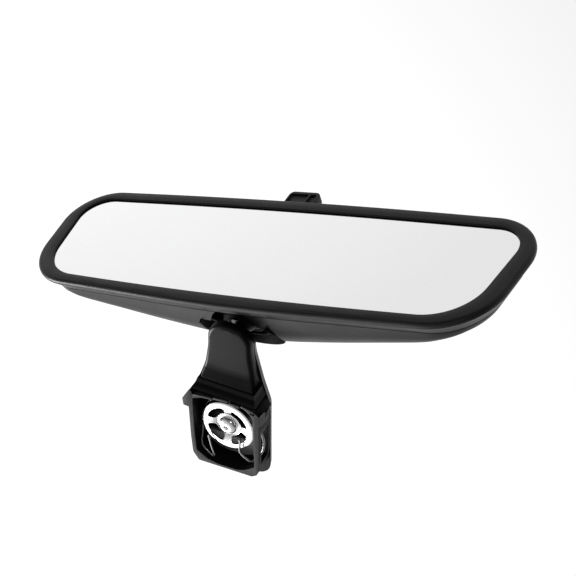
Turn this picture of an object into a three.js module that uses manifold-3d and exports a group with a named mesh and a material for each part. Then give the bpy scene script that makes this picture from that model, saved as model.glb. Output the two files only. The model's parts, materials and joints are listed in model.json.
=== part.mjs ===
// Interior rearview mirror: a prismatic glass in a moulded head that swivels on a ball joint,
// a short arm, and a windscreen mount with a spring disc and a wire clip.
// Millimetres, +Z up. The origin is the middle of the mount's mating face, +Z points out of it
// to the windscreen, and the driver looks along +Y at a glass that faces -Y.
import * as THREE from 'three';
import { mergeVertices } from 'three/addons/utils/BufferGeometryUtils.js';
import Module from 'manifold-3d';

const wasm = await Module();
wasm.setup();

const { Vector2, Vector3 } = THREE;

// ---- driving dimensions -------------------------------------------------------------------
const GAP = 0.3; // clearance between pieces that touch

// head frame: origin at the middle of the glass opening on the bezel's front plane,
// x across, y away from the driver, z up
const HEAD_ORIGIN = new Vector3(5.0, -72.3, -46.7);
const HEAD_X = new Vector3(0.9625, 0.2617, -0.071);
const HEAD_Y = new Vector3(-0.2684, 0.9568, -0.112);
const BALL = new Vector3(0, 20, 23); // ball centre in the head frame
const BALL_R = 7;

// an outline is a six-sided polygon with rounded corners: a bowed top and bottom edge each have
// a middle point, and meet the slanting ends at `end`, `halfWidth` across
const OPENING = {
  top: { middle: 32.1, end: 28.0, halfWidth: 112.8, bow: 2100, corner: 24.8 },
  bottom: { middle: -33.3, end: -30.4, halfWidth: 122.6, bow: 3300, corner: 14 },
};
const RIM = {
  top: { middle: 39.0, end: 33.7, halfWidth: 121.6, bow: 900, corner: 31 },
  bottom: { middle: -40.8, end: -36.9, halfWidth: 131.4, bow: 3000, corner: 24 },
};
const BOW_STEPS = 7;
const CORNER_STEPS = 6;
const LONG_STEPS = 3;
const SIDE_STEPS = 2;

const BEZEL_DEPTH = 9.3;
const RIM_TAPER = 5; // the bezel's side leans in by this much towards its back
const GLASS_RECESS = 1.4;
const GLASS_LIP = 0.7; // how far the glass reaches under the bezel's lip
const GLASS_THIN = 1.8;
const GLASS_THICK = 4.2;
const BACKING = 0.8;

const SHELL_FRONT = BEZEL_DEPTH + GAP;
const SHELL_EDGE = -RIM_TAPER - 0.3;
const SHELL_WALL = 2.2;
const SHELL_DEPTH = 34;
const SHELL_END_DEPTH = 8.4;
const SHELL_HALF_LENGTH = 130;
const SHELL_FLARE = 1.5;
const SHELL_POWER = 2.4;
const SHELL_POLE_Z = -14.6;
const SHELL_POLE = 0.35; // how far the last ring stays from the deepest point

const NECK_ANGLE = 0.58; // tilt of the neck's opening from up to back, in radians
const NECK_RISE = 8.6; // opening centre above the ball
const NECK_R = 20.3;
const NECK_WALL = 2;
const NECK_TOP = -1.1; // flat rim of the opening's collar, from the opening's centre
const NECK_FRONT = 16; // the opening is cut off flat here, towards the driver
const LINER_HOLE = 12.5;
const SOCKET_ROOM = 16; // room round the ball in the shell

const HINGE = { y: 15, z: 23.5, halfSpan: 27, r: 1.6 };
const TILT_DEG = 4.5;
const LEVER = { y: 13, z: -26.5, width: 17, pinR: 1.5, hubR: 2.6, flipDeg: 45 };
const FORK_ANGLE = THREE.MathUtils.degToRad(LEVER.flipDeg / 2);
const CRANK_REACH = ((HINGE.z - LEVER.z) * Math.sin(THREE.MathUtils.degToRad(TILT_DEG)) * 0.5)
  / Math.sin(FORK_ANGLE);
const LINK = {
  y: LEVER.y + CRANK_REACH * Math.sin(FORK_ANGLE), z: LEVER.z + CRANK_REACH * Math.cos(FORK_ANGLE), r: 1.1,
};
const SOCKET = { inner: 9.1, outer: 10.4, flangeHalf: 17 };
const SCREW_X = 13.5;
const SCREW_Z = 14;

const ARM_FRONT = -7;
const ARM_SPLIT = -12.4;
const ARM_BACK = -17;
const DISC_Z = -4;
const DISC_R = 13.7;
const DISC_SHEET = 0.9;
const WIRE_R = 0.55;

// ---- materials ----------------------------------------------------------------------------
const finish = (color, roughness, metalness) =>
  new THREE.MeshStandardMaterial({ color, roughness, metalness });
const SATIN_BLACK = finish(0x161616, 0.5, 0);
const GLOSS_BLACK = finish(0x1c1c1d, 0.32, 0);
const DARK_GREY = finish(0x3a3b3c, 0.55, 0);
const BRIGHT_METAL = finish(0xd8d9da, 0.22, 1);
const SPRING_STEEL = finish(0x9a9b9c, 0.35, 1);
const MIRROR_GLASS = finish(0xe9e9ea, 0.03, 1);
const NYLON = finish(0x2e2d2b, 0.5, 0);
const FOAM = finish(0x2b2b2c, 0.95, 0);

// ---- mesh helpers -------------------------------------------------------------------------
function meshFrom(points, faces) {
  const geometry = new THREE.BufferGeometry();
  const flat = points.flatMap((p) => [p.x, p.y, p.z]);
  geometry.setAttribute('position', new THREE.Float32BufferAttribute(flat, 3));
  geometry.setIndex(faces.flat());
  return geometry;
}

// a stack of closed rings with the same number of points, capped by a fan at both ends
function stackedRings(rings) {
  const count = rings[0].length;
  const points = rings.flat();
  const faces = [];
  for (let k = 0; k + 1 < rings.length; k += 1) {
    for (let i = 0; i < count; i += 1) {
      const a = k * count + i;
      const b = k * count + ((i + 1) % count);
      faces.push([a, b, b + count], [a, b + count, a + count]);
    }
  }
  const middle = (ring) => ring.reduce((sum, p) => sum.add(p), new Vector3()).divideScalar(count);
  const first = points.push(middle(rings[0])) - 1;
  const last = points.push(middle(rings[rings.length - 1])) - 1;
  const top = (rings.length - 1) * count;
  for (let i = 0; i < count; i += 1) {
    const next = (i + 1) % count;
    faces.push([first, next, i], [last, top + i, top + next]);
  }
  return meshFrom(points, faces);
}

// a closed section carried round a closed path: sections[i] is the section at station i
function closedSweep(sections) {
  const stations = sections.length;
  const count = sections[0].length;
  const faces = [];
  for (let i = 0; i < stations; i += 1) {
    for (let k = 0; k < count; k += 1) {
      const a = i * count + k;
      const b = i * count + ((k + 1) % count);
      const c = ((i + 1) % stations) * count + ((k + 1) % count);
      const d = ((i + 1) % stations) * count + k;
      faces.push([a, b, c], [a, c, d]);
    }
  }
  return meshFrom(sections.flat(), faces);
}

function toSolid(geometry) {
  const bare = geometry.clone();
  bare.deleteAttribute('normal');
  bare.deleteAttribute('uv');
  const merged = mergeVertices(bare, 1e-4);
  const mesh = new wasm.Mesh({
    numProp: 3,
    vertProperties: new Float32Array(merged.attributes.position.array),
    triVerts: new Uint32Array(merged.index.array),
  });
  return new wasm.Manifold(mesh);
}

function fromSolid(solid) {
  const mesh = solid.getMesh();
  const geometry = new THREE.BufferGeometry();
  geometry.setAttribute('position', new THREE.Float32BufferAttribute(mesh.vertProperties, 3));
  geometry.setIndex(new THREE.Uint32BufferAttribute(mesh.triVerts, 1));
  return geometry;
}

const cut = (geometry, ...tools) =>
  fromSolid(tools.reduce((solid, tool) => solid.subtract(toSolid(tool)), toSolid(geometry)));
const join = (geometry, ...others) =>
  fromSolid(others.reduce((solid, other) => solid.add(toSolid(other)), toSolid(geometry)));

function box(low, high) {
  const size = high.map((value, i) => value - low[i]);
  const geometry = new THREE.BoxGeometry(...size);
  return geometry.translate(...low.map((value, i) => value + size[i] / 2));
}

// turns a shape made about +Y so that +Y points along `axis`, and moves it to `at`
function aim(geometry, axis, at) {
  const turn = new THREE.Quaternion().setFromUnitVectors(new Vector3(0, 1, 0), axis.clone().normalize());
  return geometry.applyQuaternion(turn).translate(at.x, at.y, at.z);
}

const rod = (r, length, sides = 16) => new THREE.CylinderGeometry(r, r, length, sides);
const lathe = (profile, segments = 32) =>
  new THREE.LatheGeometry(profile.map(([r, h]) => new Vector2(r, h)), segments);

// a flat outline in x and y, pushed from z = low to z = high
function plate(outline, low, high, holes = []) {
  const shape = new THREE.Shape(THREE.ShapeUtils.isClockWise(outline) ? [...outline].reverse() : outline);
  shape.holes = holes.map((hole) => new THREE.Path(hole));
  const geometry = new THREE.ExtrudeGeometry(shape, { depth: high - low, bevelEnabled: false });
  return geometry.translate(0, 0, low);
}

// a profile in y and z, pushed along x from -half to +half
function profileAcross(profile, half) {
  const shape = new THREE.Shape(profile.map(([y, z]) => new Vector2(y, z)));
  const geometry = new THREE.ExtrudeGeometry(shape, { depth: 2 * half, bevelEnabled: false });
  const axes = [new Vector3(0, 1, 0), new Vector3(0, 0, 1), new Vector3(1, 0, 0)];
  return geometry.applyMatrix4(new THREE.Matrix4().makeBasis(...axes)).translate(-half, 0, 0);
}

// a polygon with rounded corners: corners are [x, y, radius, steps]
function rounded(corners) {
  const points = [];
  corners.forEach(([x, y, radius, steps], i) => {
    const here = new Vector2(x, y);
    if (!radius) {
      points.push(here);
      return;
    }
    const before = new Vector2(...corners[(i + corners.length - 1) % corners.length]).sub(here).normalize();
    const after = new Vector2(...corners[(i + 1) % corners.length]).sub(here).normalize();
    const half = Math.acos(THREE.MathUtils.clamp(before.dot(after), -1, 1)) / 2;
    const inward = before.clone().add(after).normalize();
    const centre = here.clone().addScaledVector(inward, radius / Math.sin(half));
    const start = here.clone().addScaledVector(before, radius / Math.tan(half)).sub(centre);
    const sweep = Math.PI - 2 * half;
    const side = Math.sign(before.x * after.y - before.y * after.x);
    for (let k = 0; k <= steps; k += 1) {
      const turned = start.clone().rotateAround(new Vector2(), (-side * sweep * k) / steps);
      points.push(turned.add(centre));
    }
  });
  return points;
}

// the corners of half an outline, with their mirror image
const full = (half) => {
  const other = [...half].reverse().map(([x, ...rest]) => [-x, ...rest]);
  return rounded([...half, ...other]);
};

function add(group, name, geometry, material) {
  const mesh = new THREE.Mesh(geometry, material);
  mesh.name = name;
  group.add(mesh);
  return mesh;
}

// ---- head outline -------------------------------------------------------------------------
// an outline's points with outward normals, counter-clockwise seen from the driver
function outlineStations({ top, bottom }) {
  const corners = [
    [0, bottom.middle, bottom.bow, BOW_STEPS, LONG_STEPS],
    [bottom.halfWidth, bottom.end, bottom.corner, CORNER_STEPS, SIDE_STEPS],
    [top.halfWidth, top.end, top.corner, CORNER_STEPS, LONG_STEPS],
    [0, top.middle, top.bow, BOW_STEPS, LONG_STEPS],
    [-top.halfWidth, top.end, top.corner, CORNER_STEPS, SIDE_STEPS],
    [-bottom.halfWidth, bottom.end, bottom.corner, CORNER_STEPS, LONG_STEPS],
  ];
  const arcs = corners.map(([x, z, radius, steps], i) => {
    const here = new Vector2(x, z);
    const before = new Vector2(...corners[(i + 5) % 6]).sub(here).normalize();
    const after = new Vector2(...corners[(i + 1) % 6]).sub(here).normalize();
    const half = Math.acos(before.dot(after)) / 2;
    const inward = before.clone().add(after).normalize();
    const centre = here.clone().addScaledVector(inward, radius / Math.sin(half));
    const out = here.clone().addScaledVector(before, radius / Math.tan(half)).sub(centre).normalize();
    const sweep = Math.PI - 2 * half;
    return Array.from({ length: steps + 1 }, (_, k) => {
      const n = out.clone().rotateAround(new Vector2(), (sweep * k) / steps);
      return { p: centre.clone().addScaledVector(n, radius), n };
    });
  });
  return arcs.flatMap((arc, i) => {
    const steps = corners[i][4];
    const from = arc[arc.length - 1];
    const to = arcs[(i + 1) % arcs.length][0];
    const between = Array.from({ length: steps - 1 }, (_, k) => (
      { p: from.p.clone().lerp(to.p, (k + 1) / steps), n: from.n.clone() }));
    return [...arc, ...between];
  });
}

const OPENING_STATIONS = outlineStations(OPENING);
const RIM_STATIONS = outlineStations(RIM);
const pushed = ({ p, n }, offset) => p.clone().addScaledVector(n, offset);
const ringAt = (stations, offset, depth) => stations.map((station) => {
  const { x, y: z } = pushed(station, offset);
  return new Vector3(x, typeof depth === 'function' ? depth(z) : depth, z);
});

// ---- head pieces, in the head frame ---------------------------------------------------------
const NECK_AXIS = new Vector3(0, Math.sin(NECK_ANGLE), Math.cos(NECK_ANGLE));
const NECK_CENTRE = BALL.clone().addScaledVector(NECK_AXIS, NECK_RISE);

// rear surface: the rim's outline shrinks towards its deepest point, less deep towards the ends
function shellRings(offset, inset, steps) {
  return Array.from({ length: steps + 1 }, (_, k) => {
    const turn = (Math.PI / 2) * (k / (steps + SHELL_POLE));
    const shrink = Math.cos(turn) ** (2 / SHELL_POWER);
    const grow = Math.sin(turn) ** (2 / SHELL_POWER);
    return ringAt(RIM_STATIONS, offset, 0).map((p) => {
      const x = p.x * shrink;
      const flare = Math.max(0, 1 - Math.abs(x / SHELL_HALF_LENGTH) ** SHELL_FLARE);
      const depth = SHELL_END_DEPTH + (SHELL_DEPTH - SHELL_END_DEPTH) * flare - inset;
      return new Vector3(x, SHELL_FRONT + depth * grow, SHELL_POLE_Z + (p.z - SHELL_POLE_Z) * shrink);
    });
  });
}

const beforeNeck = (y) => box([-40, -20, -30], [40, y, 70]);
const leverSlot = (halfWidth) => box([-halfWidth, 2.6, -45], [halfWidth, 27, -31]);
const neckCylinder = (r, low, high) => {
  const rise = (high + low) / 2;
  return aim(rod(r, high - low, 40), NECK_AXIS, NECK_CENTRE.clone().addScaledVector(NECK_AXIS, rise));
};

function rearHousing() {
  const outer = shellRings(SHELL_EDGE, 0, 7).reverse();
  const inner = shellRings(SHELL_EDGE - SHELL_WALL, SHELL_WALL, 5);
  const shell = stackedRings([...outer, ...inner]);
  const opening = cut(neckCylinder(NECK_R + GAP, -13, 30), beforeNeck(NECK_FRONT));
  const room = new THREE.SphereGeometry(SOCKET_ROOM, 28, 18).translate(BALL.x, BALL.y, BALL.z);
  return cut(shell, opening, room, leverSlot(LEVER.width / 2 + 1.5));
}

function bezel() {
  // [share of the way from the opening to the rim, further offset outward, depth]
  const section = [
    [0, 0, GLASS_RECESS - GAP], [0, 0.3, 0.8], [0, 1.4, 0.3], [0.5, 0, 0], [1, -1.6, 0.3], [1, -0.4, 1.2],
    [1, 0, 2.6], [1, -RIM_TAPER, BEZEL_DEPTH], [1, -RIM_TAPER - 1.4, BEZEL_DEPTH],
    [0, GLASS_LIP + GAP, 6.3], [0, GLASS_LIP + GAP, GLASS_RECESS - GAP],
  ];
  const sections = OPENING_STATIONS.map((inner, i) => section.map(([share, offset, y]) => {
    const p = inner.p.clone().lerp(RIM_STATIONS[i].p, share);
    const n = share === 0 ? inner.n : RIM_STATIONS[i].n;
    return new Vector3(p.x + n.x * offset, y, p.y + n.y * offset);
  }));
  return cut(closedSweep(sections), leverSlot(LEVER.width / 2 + 1.5));
}

// the glass is thicker at the top than at the bottom
const glassBack = (z, extra = 0) =>
  GLASS_RECESS + GLASS_THIN + extra
  + ((GLASS_THICK - GLASS_THIN) * (z - OPENING.bottom.end)) / (OPENING.top.end - OPENING.bottom.end);

const mirrorGlass = () => stackedRings([
  ringAt(OPENING_STATIONS, GLASS_LIP, (z) => glassBack(z)),
  ringAt(OPENING_STATIONS, GLASS_LIP, GLASS_RECESS),
]);

const glassBacking = () => stackedRings([
  ringAt(OPENING_STATIONS, GLASS_LIP - 4, (z) => glassBack(z, GAP + BACKING)),
  ringAt(OPENING_STATIONS, GLASS_LIP - 4, (z) => glassBack(z, GAP)),
]);

// black collar and floor of the opening; the collar's flat rim stands out of the shell at the back
function neckLiner() {
  const inner = NECK_R - NECK_WALL;
  const wall = lathe([
    [inner, -7], [inner, -5.5], [NECK_R - 0.8, NECK_TOP], [NECK_R, NECK_TOP], [NECK_R, -8],
    [LINER_HOLE, -11.7], [LINER_HOLE, -10], [inner, -7],
  ].reverse(), 40);
  return cut(aim(wall, NECK_AXIS, NECK_CENTRE), beforeNeck(NECK_FRONT + GAP));
}

// a band of a spherical shell round the ball, between two angles from the neck's axis
function ballBand(inner, outer, from, to, steps) {
  const angle = (k) => THREE.MathUtils.degToRad(from + ((to - from) * k) / steps);
  const along = Array.from({ length: steps + 1 }, (_, k) => angle(k));
  const arc = (r) => along.map((turn) => [r * Math.sin(turn), r * Math.cos(turn)]);
  const profile = [...arc(inner), ...arc(outer).reverse()];
  return aim(lathe([...profile, profile[0]], 28), NECK_AXIS, BALL);
}

function socketCup() {
  const cup = ballBand(SOCKET.inner, SOCKET.outer, 66, 128, 6);
  const flange = box([-SOCKET.flangeHalf, 16.3, 9], [SOCKET.flangeHalf, 18.3, 19]);
  const room = new THREE.SphereGeometry(SOCKET.inner + 0.2, 24, 16).translate(BALL.x, BALL.y, BALL.z);
  const screwHoles = [-1, 1].map((side) => alongY(SCREW_X * side, SCREW_Z, 1.5 + GAP, 10, 20));
  return cut(join(cup, flange), room, ...screwHoles);
}

const alongY = (x, z, r, low, high) => rod(r, high - low, 12).translate(x, (low + high) / 2, z);
const alongX = (y, z, r, low, high) =>
  rod(r, high - low, 12).rotateZ(Math.PI / 2).translate((low + high) / 2, y, z);
const onSide = (side, low, high) => [side * low, side * high].sort((a, b) => a - b);

// carrier of the socket: two ears up to the tilt pins and a stem down to the link pin
function pivotPlate() {
  const ear = HINGE.halfSpan;
  const flat = plate(full([[6, LINK.z + 0.4], [6, 4, 4, 3], [ear, 9, 5, 3], [ear, HINGE.z + 4, 2, 2],
    [ear - 4.5, HINGE.z + 4, 2, 2], [ear - 4.5, 18]]), 0, 1.8).rotateX(Math.PI / 2).translate(0, 16, 0);
  const room = new THREE.SphereGeometry(SOCKET.outer + GAP, 24, 16).translate(BALL.x, BALL.y, BALL.z);
  const knuckles = [-1, 1].map((side) => alongX(HINGE.y, HINGE.z, 3.4, ...onSide(side, ear - 4.5, ear)));
  const lug = alongX(LINK.y, LINK.z, 1.95, -6, 6);
  const bores = [
    alongX(HINGE.y, HINGE.z, HINGE.r + GAP, -40, 40),
    alongX(LINK.y, LINK.z, LINK.r + GAP, -20, 20),
    box([-3.4, 5, -32], [3.4, 25, LINK.z + 6]),
    ...[-1, 1].map((side) => alongY(SCREW_X * side, SCREW_Z, 1.5 + GAP, 10, 20)),
  ];
  return cut(join(flat, ...knuckles, lug), room, ...bores);
}

// pan-head screw along y, head at the front
function screwAlongY(x, z, headY, r, length) {
  const profile = [[0, 0], [r * 1.7, 0], [r * 2, 0.5], [r * 2, 1.6], [r, 1.6], [r, length], [0, length]];
  return lathe(profile, 14).translate(x, headY, z);
}

function toggleLever() {
  const stem = profileAcross([[-10, -12.4], [-6, -12.4], [1.2, -2.2], [-2.4, -1.2]], 7.5);
  const tab = profileAcross([[-11.6, -22.6], [-5.2, -22.6], [-4.4, -21.6], [-5.9, -12.2], [-9.9, -12.2],
    [-10, -19.6], [-11.6, -20]], LEVER.width / 2);
  const hub = alongX(0, 0, LEVER.hubR, -11.2, 11.2);
  const fork = box([-2.6, -2.6, 0], [2.6, 2.6, 7.6]).rotateX(-FORK_ANGLE);
  const slot = box([-5, -LINK.r - 0.5, LEVER.pinR + 1], [5, LINK.r + 0.5, 10]).rotateX(-FORK_ANGLE);
  const bore = alongX(0, 0, LEVER.pinR + GAP, -20, 20);
  return cut(join(stem, tab, hub, fork), slot, bore).translate(0, LEVER.y, LEVER.z);
}

// ---- arm and mount, in the frame of the whole part ------------------------------------------
const toPart = (v) => HEAD_ORIGIN.clone()
  .addScaledVector(HEAD_X, v.x).addScaledVector(HEAD_Y, v.y).addScaledVector(HEAD_Z, v.z);
const HEAD_Z = HEAD_X.clone().cross(HEAD_Y).normalize();
const BALL_AT = toPart(BALL);
const STUD_AXIS = new Vector3(0, 0.5, Math.sqrt(0.75));
const alongStud = (r, low, high, sides = 24) =>
  aim(rod(r, high - low, sides), STUD_AXIS, BALL_AT.clone().addScaledVector(STUD_AXIS, (low + high) / 2));
const STUD_R = 3.3;
const BOSS_START = 9.2;
const underArm = () => aim(box([-40, -60, -40], [40, BOSS_START, 40]), STUD_AXIS, BALL_AT);

function armBody() {
  const outline = full([[10.2, -58, 9.2, 5], [10.6, -43, 30, 2], [14.9, -26, 30, 2], [18.6, -14.5, 14, 3],
    [18.8, 32, 8, 5]]);
  const slab = plate(outline, ARM_BACK, ARM_SPLIT);
  const boss = cut(alongStud(6.4, BOSS_START, 16), box([-20, -80, ARM_SPLIT], [20, 0, 20]));
  const hubPost = new THREE.CylinderGeometry(5, 5.6, 8, 24).rotateX(Math.PI / 2)
    .translate(0, 0, ARM_SPLIT + 3.4);
  const screwBore = rod(2.5, 12, 12).rotateX(Math.PI / 2).translate(0, 0, -9.5);
  return cut(join(cut(slab, underArm()), boss, hubPost), alongStud(STUD_R + GAP, 0, 13, 16), screwBore);
}

// the cover's foot climbs to a shoulder that meets the mount frame
function armCover() {
  const low = ARM_SPLIT + GAP;
  const outline = full([[10.5, -58.4, 9.4, 5], [10.8, -44, 40, 2], [12.5, -33, 40, 2], [14.6, -24.6]]);
  const climb = profileAcross([[-31, low], [-21, low], [-21, -0.8], [-23.6, -3.2], [-24.6, -3.5], [-27, -5.4],
    [-31, ARM_FRONT - 0.2]], 18);
  const plan = plate(full([[12.4, -31.5], [14.6, -24.4], [15.7, -20.9]]), low - 1, 1);
  const foot = fromSolid(toSolid(climb).intersect(toSolid(plan)));
  return cut(join(plate(outline, low, ARM_FRONT), foot), underArm());
}

function mountFrame() {
  const outer = rounded([[17.9, -14], [15.9, -17.6], [10.8, -18.9], [4.5, -19.8], [-3, -20.3], [-9.5, -20.1],
    [-16.2, -19.2], [-19.4, -16.4], [-18.5, -11], [-18.6, 12], [-17.7, 20.4, 1.5, 2], [-14.9, 22.5, 1.5, 2],
    [13.3, 24, 1.5, 2], [16.4, 19.6, 3, 2], [17.2, 9]]);
  const inner = rounded([[15.7, -15.2], [10.7, -17.4], [4.5, -18.4], [-3, -18.9], [-9, -18.7], [-13.9, -17.8],
    [-15.4, -14], [-15.8, 0], [-16.3, 15.8], [-11.5, 19.7], [-7, 21.6], [2.7, 22.1], [8.4, 21.2],
    [14.4, 17.4], [15.2, 6]]);
  const low = ARM_SPLIT + GAP;
  const bars = plate(outer, low, 0, [inner]);
  const ear = plate(rounded([[15.9, -17.8], [18.6, -17], [21, -13.3], [20.5, -9.2], [16.2, -9]]), -5, -0.2);
  const fin = plate(rounded([[-17, -10.5], [-18.8, -17], [-21.3, -21.6], [-22.1, -21.9], [-21.9, -17.7],
    [-20.7, -13.5], [-18.4, -10.5]]), -4, -0.3);
  const wireWindow = box([-20, -4, -10.5], [-14, 15.2, -3]);
  return cut(join(bars, ear, fin), wireWindow);
}

function retainerDisc() {
  const ring = (r, from, to, steps) => Array.from({ length: steps + 1 }, (_, k) => {
    const angle = from + ((to - from) * k) / steps;
    return new Vector2(r * Math.cos(angle), r * Math.sin(angle));
  });
  const windows = [0, 1, 2, 3].map((k) => {
    const middle = (k + 0.5) * (Math.PI / 2);
    const farSide = ring(10.3, middle - 0.55, middle + 0.55, 5);
    return [...farSide, ...ring(6, middle - 0.45, middle + 0.45, 4).reverse()];
  });
  return plate(ring(DISC_R, 0, 2 * Math.PI * (35 / 36), 35), DISC_Z - DISC_SHEET, DISC_Z,
    [...windows, ring(2.5, 0, 2 * Math.PI * (11 / 12), 11)]);
}

function hubScrew() {
  const top = DISC_Z + GAP;
  return lathe([[0, -14.5], [2.1, -14.5], [2.1, top], [4.6, top], [4.6, top + 0.8], [3.4, top + 2],
    [1.4, top + 2.6], [0, top + 2.7]], 16).rotateX(Math.PI / 2);
}

// one length of spring wire: a prong, a V bend, the loop behind the disc, and the same back up
function springClip() {
  const route = [
    [8.9, 8, -2.7], [7.4, 15, -2.7], [5.8, 20.8, -3], [8.8, 19.4, -3.2], [13.1, 16.4, -4], [14.3, 10, -7],
    [14.3, 2, -8.4], [11.5, -8.4, -8], [5, -12.6, -8], [-3, -12.8, -8], [-10, -10, -8], [-14.2, -5, -7.4],
    [-17, 0, -7], [-18, 6, -7], [-17, 11.6, -6.4], [-15, 14.8, -5.2], [-13.2, 16.2, -3.6],
    [-10.4, 14.4, -2.9],
    [-7.7, 11.6, -2.7], [-7.5, 8, -2.7], [-7.7, 4, -2.7],
  ].map((p) => new Vector3(...p));
  const section = new THREE.Shape(Array.from({ length: 6 }, (_, k) =>
    new Vector2(WIRE_R, 0).rotateAround(new Vector2(), (k * Math.PI) / 3)));
  const path = new THREE.CatmullRomCurve3(route, false, 'centripetal');
  return new THREE.ExtrudeGeometry(section, { steps: 70, extrudePath: path, bevelEnabled: false });
}

function ballStud() {
  const ball = new THREE.SphereGeometry(BALL_R, 28, 18).translate(BALL_AT.x, BALL_AT.y, BALL_AT.z);
  return join(ball, alongStud(STUD_R, 0, 12.6, 16));
}

// ---- assembly -------------------------------------------------------------------------------
const mirror = new THREE.Group();
mirror.name = 'interior_rearview_mirror';
const mount = new THREE.Group();
const head = new THREE.Group();
head.position.copy(HEAD_ORIGIN);
head.quaternion.setFromRotationMatrix(new THREE.Matrix4().makeBasis(HEAD_X, HEAD_Y, HEAD_Z));
mirror.add(mount, head);

add(mount, 'arm_body', armBody(), GLOSS_BLACK);
add(mount, 'arm_front_cover', armCover(), GLOSS_BLACK);
add(mount, 'mount_frame', mountFrame(), DARK_GREY);
add(mount, 'retainer_disc', retainerDisc(), BRIGHT_METAL);
add(mount, 'hub_screw', hubScrew(), BRIGHT_METAL);
add(mount, 'spring_clip', springClip(), SPRING_STEEL);
add(mount, 'ball_stud', ballStud(), SPRING_STEEL);

add(head, 'ball_seat_inner', ballBand(7.3, 7.9, 68, 122, 5), NYLON);
add(head, 'ball_seat_outer', ballBand(8.2, 8.8, 66, 125, 5), NYLON);
add(head, 'socket_cup', socketCup(), NYLON);
add(head, 'pivot_plate', pivotPlate(), DARK_GREY);
add(head, 'link_pin', alongX(LINK.y, LINK.z, LINK.r, -6.4, 6.4), SPRING_STEEL);

add(head, 'rear_housing', rearHousing(), SATIN_BLACK);
add(head, 'bezel', bezel(), SATIN_BLACK);
add(head, 'mirror_glass', mirrorGlass(), MIRROR_GLASS);
add(head, 'glass_backing', glassBacking(), FOAM);
add(head, 'neck_liner', neckLiner(), SATIN_BLACK);
add(head, 'toggle_pin', alongX(LEVER.y, LEVER.z, LEVER.pinR, -15, 15), SPRING_STEEL);
add(head, 'detent_spring', box([-7, 19.6, -30], [7, 20, -19]), SPRING_STEEL);
add(head, 'toggle_lever', toggleLever(), SATIN_BLACK);

for (const [side, label] of [[-1, 'left'], [1, 'right']]) {
  add(head, `clamp_screw_${label}`, screwAlongY(side * SCREW_X, SCREW_Z, 12, 1.5, 7.5), BRIGHT_METAL);
  add(head, `tilt_pin_${label}`, alongX(HINGE.y, HINGE.z, HINGE.r, ...onSide(side, 22, 33)), SPRING_STEEL);
  const [hingeLow, hingeHigh] = onSide(side, HINGE.halfSpan + GAP, HINGE.halfSpan + 5);
  const hingeBlock = box([hingeLow, 11, 19], [hingeHigh, 19, 28.4]);
  const hingeBore = alongX(HINGE.y, HINGE.z, HINGE.r + GAP, -40, 40);
  add(head, `hinge_block_${label}`, cut(hingeBlock, hingeBore), SATIN_BLACK);
  const [bracketLow, bracketHigh] = onSide(side, 11.8, 14.6);
  const bracket = box([bracketLow, 10, -30], [bracketHigh, 17, -21]);
  const leverBore = alongX(LEVER.y, LEVER.z, LEVER.pinR + GAP, -20, 20);
  add(head, `lever_bracket_${label}`, cut(bracket, leverBore), SATIN_BLACK);
  const [padLow, padHigh] = onSide(side, 60, 84);
  add(head, `foam_pad_${label}`, box([padLow, 11, -8], [padHigh, 19, 12]), FOAM);
}

export default mirror;
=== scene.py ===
"""Interior rearview mirror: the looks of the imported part, in the part's own frame.

Sizes are in millimetres; mesh_object turns them into the scene's metres.
"""

import json
import math

import bmesh
import bpy
from mathutils import Matrix, Vector

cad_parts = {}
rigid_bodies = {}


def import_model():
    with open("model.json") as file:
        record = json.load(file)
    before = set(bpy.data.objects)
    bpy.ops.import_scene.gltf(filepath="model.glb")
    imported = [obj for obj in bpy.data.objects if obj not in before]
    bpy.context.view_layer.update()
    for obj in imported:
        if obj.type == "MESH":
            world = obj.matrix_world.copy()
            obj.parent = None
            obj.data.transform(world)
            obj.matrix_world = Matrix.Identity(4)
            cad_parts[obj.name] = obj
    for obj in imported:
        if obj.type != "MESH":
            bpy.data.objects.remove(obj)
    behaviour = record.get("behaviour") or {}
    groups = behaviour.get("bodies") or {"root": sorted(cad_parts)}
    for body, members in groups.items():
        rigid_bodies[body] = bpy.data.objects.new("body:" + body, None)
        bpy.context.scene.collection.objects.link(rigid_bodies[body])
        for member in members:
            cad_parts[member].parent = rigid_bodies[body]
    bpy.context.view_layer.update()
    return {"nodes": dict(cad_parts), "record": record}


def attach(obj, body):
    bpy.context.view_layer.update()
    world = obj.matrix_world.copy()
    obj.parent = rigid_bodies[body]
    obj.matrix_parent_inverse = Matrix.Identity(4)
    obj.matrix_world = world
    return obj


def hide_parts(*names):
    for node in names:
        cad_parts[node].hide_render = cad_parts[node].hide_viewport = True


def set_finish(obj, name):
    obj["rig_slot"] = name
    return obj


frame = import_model()

MM = 0.001
GAP = 0.3
WELD_AFTER_CUT = 0.001
WELD_ROWS = 0.005
ON_AXIS = 1e-6

# ---- the part's own dimensions, as in its source ----
HEAD_ORIGIN = Vector((5.0, -72.3, -46.7))
HEAD_X = Vector((0.9625, 0.2617, -0.071)).normalized()
HEAD_Y = Vector((-0.2684, 0.9568, -0.112)).normalized()
HEAD_Z = HEAD_X.cross(HEAD_Y).normalized()
HEAD = Matrix.Translation(HEAD_ORIGIN) @ Matrix((HEAD_X, HEAD_Y, HEAD_Z)).transposed().to_4x4()
BALL = Vector((0, 20, 23))
BALL_R = 7
BALL_AT = HEAD @ BALL
STUD_AXIS = Vector((0, 0.5, math.sqrt(0.75)))
STUD_R = 3.3
BOSS_START = 9.2
BOSS_R = 6.4
POST_TOP = -8.0

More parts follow.
